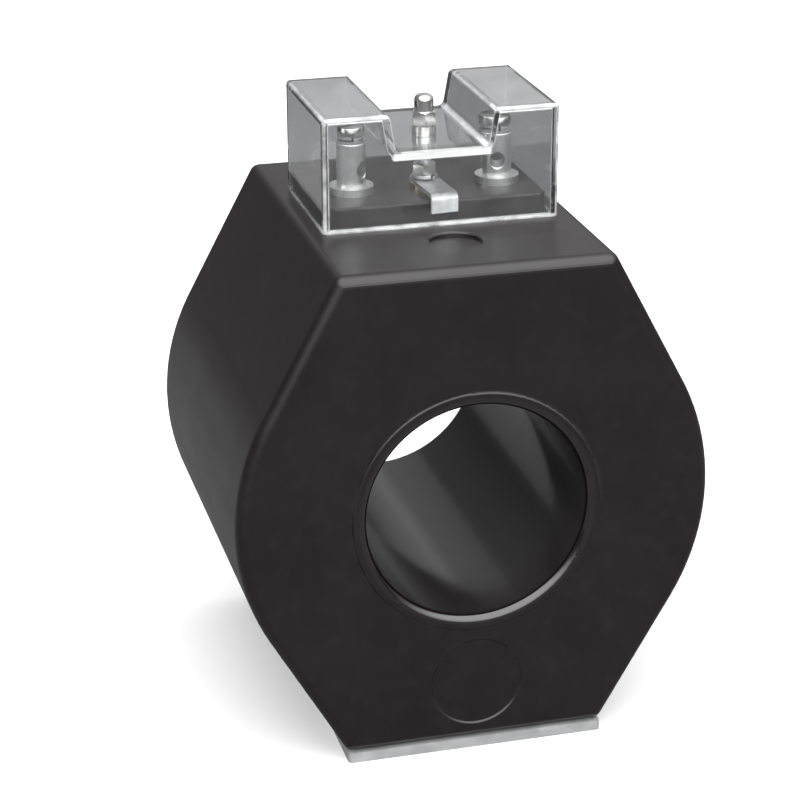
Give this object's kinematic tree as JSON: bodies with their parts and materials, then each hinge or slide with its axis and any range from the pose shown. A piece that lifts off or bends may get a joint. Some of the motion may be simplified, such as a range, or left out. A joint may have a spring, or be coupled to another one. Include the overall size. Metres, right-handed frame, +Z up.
{
  "type": "current transformer",
  "caption": "Cast-resin window-type current transformer on a metal base plate, with screw terminals and an earthing link under a clear sealed cover.",
  "frame": {"origin": "centre of the overall box, on the base plate's underside", "axes": "+X across the block, -Y out of the front face along the window, +Z up through the terminals"},
  "size_m": [0.172, 0.1456, 0.2256],
  "materials": {
    "cast_resin": "satin black cast resin with a faint mottle",
    "core_steel": "strip-wound electrical steel",
    "pressboard": "varnished pressboard",
    "copper": "enamelled copper wire, close wound",
    "tape": "woven cotton padding tape",
    "lead_sleeve": "sleeved wire",
    "nickel": "nickel-plated brass, lightly dulled",
    "zinc_steel": "zinc-plated steel",
    "zinc_plate": "zinc-plated sheet steel",
    "brass": "machined brass",
    "clear_cover": "clear moulded plastic"
  },
  "bodies": {
    "transformer": {"resin_body": "cast_resin", "ring_core": "core_steel", "core_insulation": "pressboard", "secondary_winding": "copper", "winding_wrap": "tape", "lead_left": "lead_sleeve", "lead_right": "lead_sleeve", "terminal_post_left": "nickel", "terminal_post_right": "nickel", "stud_insert": "brass", "centre_stud": "zinc_steel", "link_strap": "nickel", "link_spring": "zinc_steel", "link_nut": "nickel", "base_plate": "zinc_plate", "base_screws": "zinc_steel", "base_inserts": "brass"},
    "cover": {"terminal_cover": "clear_cover"},
    "seal_collar": {"seal_collar": "nickel"},
    "sealing_nut": {"sealing_nut": "nickel"},
    "left_clamp_washers": {"clamp_washer_left": "zinc_steel", "clamp_spring_left": "zinc_steel"},
    "left_clamp_screw": {"clamp_screw_left": "nickel"},
    "right_clamp_washers": {"clamp_washer_right": "zinc_steel", "clamp_spring_right": "zinc_steel"},
    "right_clamp_screw": {"clamp_screw_right": "nickel"}
  },
  "joints": [
    {"name": "cover_lift", "type": "slide", "parent": "transformer", "child": "cover", "axis": [0, 0, 1], "range_m": [0, 0.06]},
    {"name": "seal_rise", "type": "slide", "parent": "cover", "child": "seal_collar", "axis": [0, 0, 1], "range_m": [0, 0.0048]},
    {"name": "seal_turn", "type": "hinge", "parent": "seal_collar", "child": "sealing_nut", "pos_m": [0, 0, 0.2], "axis": [0, 0, 1], "range_deg": [0, 2160]},
    {"name": "left_clamp_rise", "type": "slide", "parent": "transformer", "child": "left_clamp_washers", "axis": [0, 0, 1], "range_m": [0, 0.004]},
    {"name": "left_clamp_turn", "type": "hinge", "parent": "left_clamp_washers", "child": "left_clamp_screw", "pos_m": [-0.0272, 0, 0.2], "axis": [0, 0, 1], "range_deg": [0, 1800]},
    {"name": "right_clamp_rise", "type": "slide", "parent": "transformer", "child": "right_clamp_washers", "axis": [0, 0, 1], "range_m": [0, 0.004]},
    {"name": "right_clamp_turn", "type": "hinge", "parent": "right_clamp_washers", "child": "right_clamp_screw", "pos_m": [0.0272, 0, 0.2], "axis": [0, 0, 1], "range_deg": [0, 1800]}
  ],
  "couplings": [
    {"joint": "seal_turn", "follows": "seal_rise", "rad_per_m": 7854},
    {"joint": "left_clamp_turn", "follows": "left_clamp_rise", "rad_per_m": 7854},
    {"joint": "right_clamp_turn", "follows": "right_clamp_rise", "rad_per_m": 7854}
  ]
}
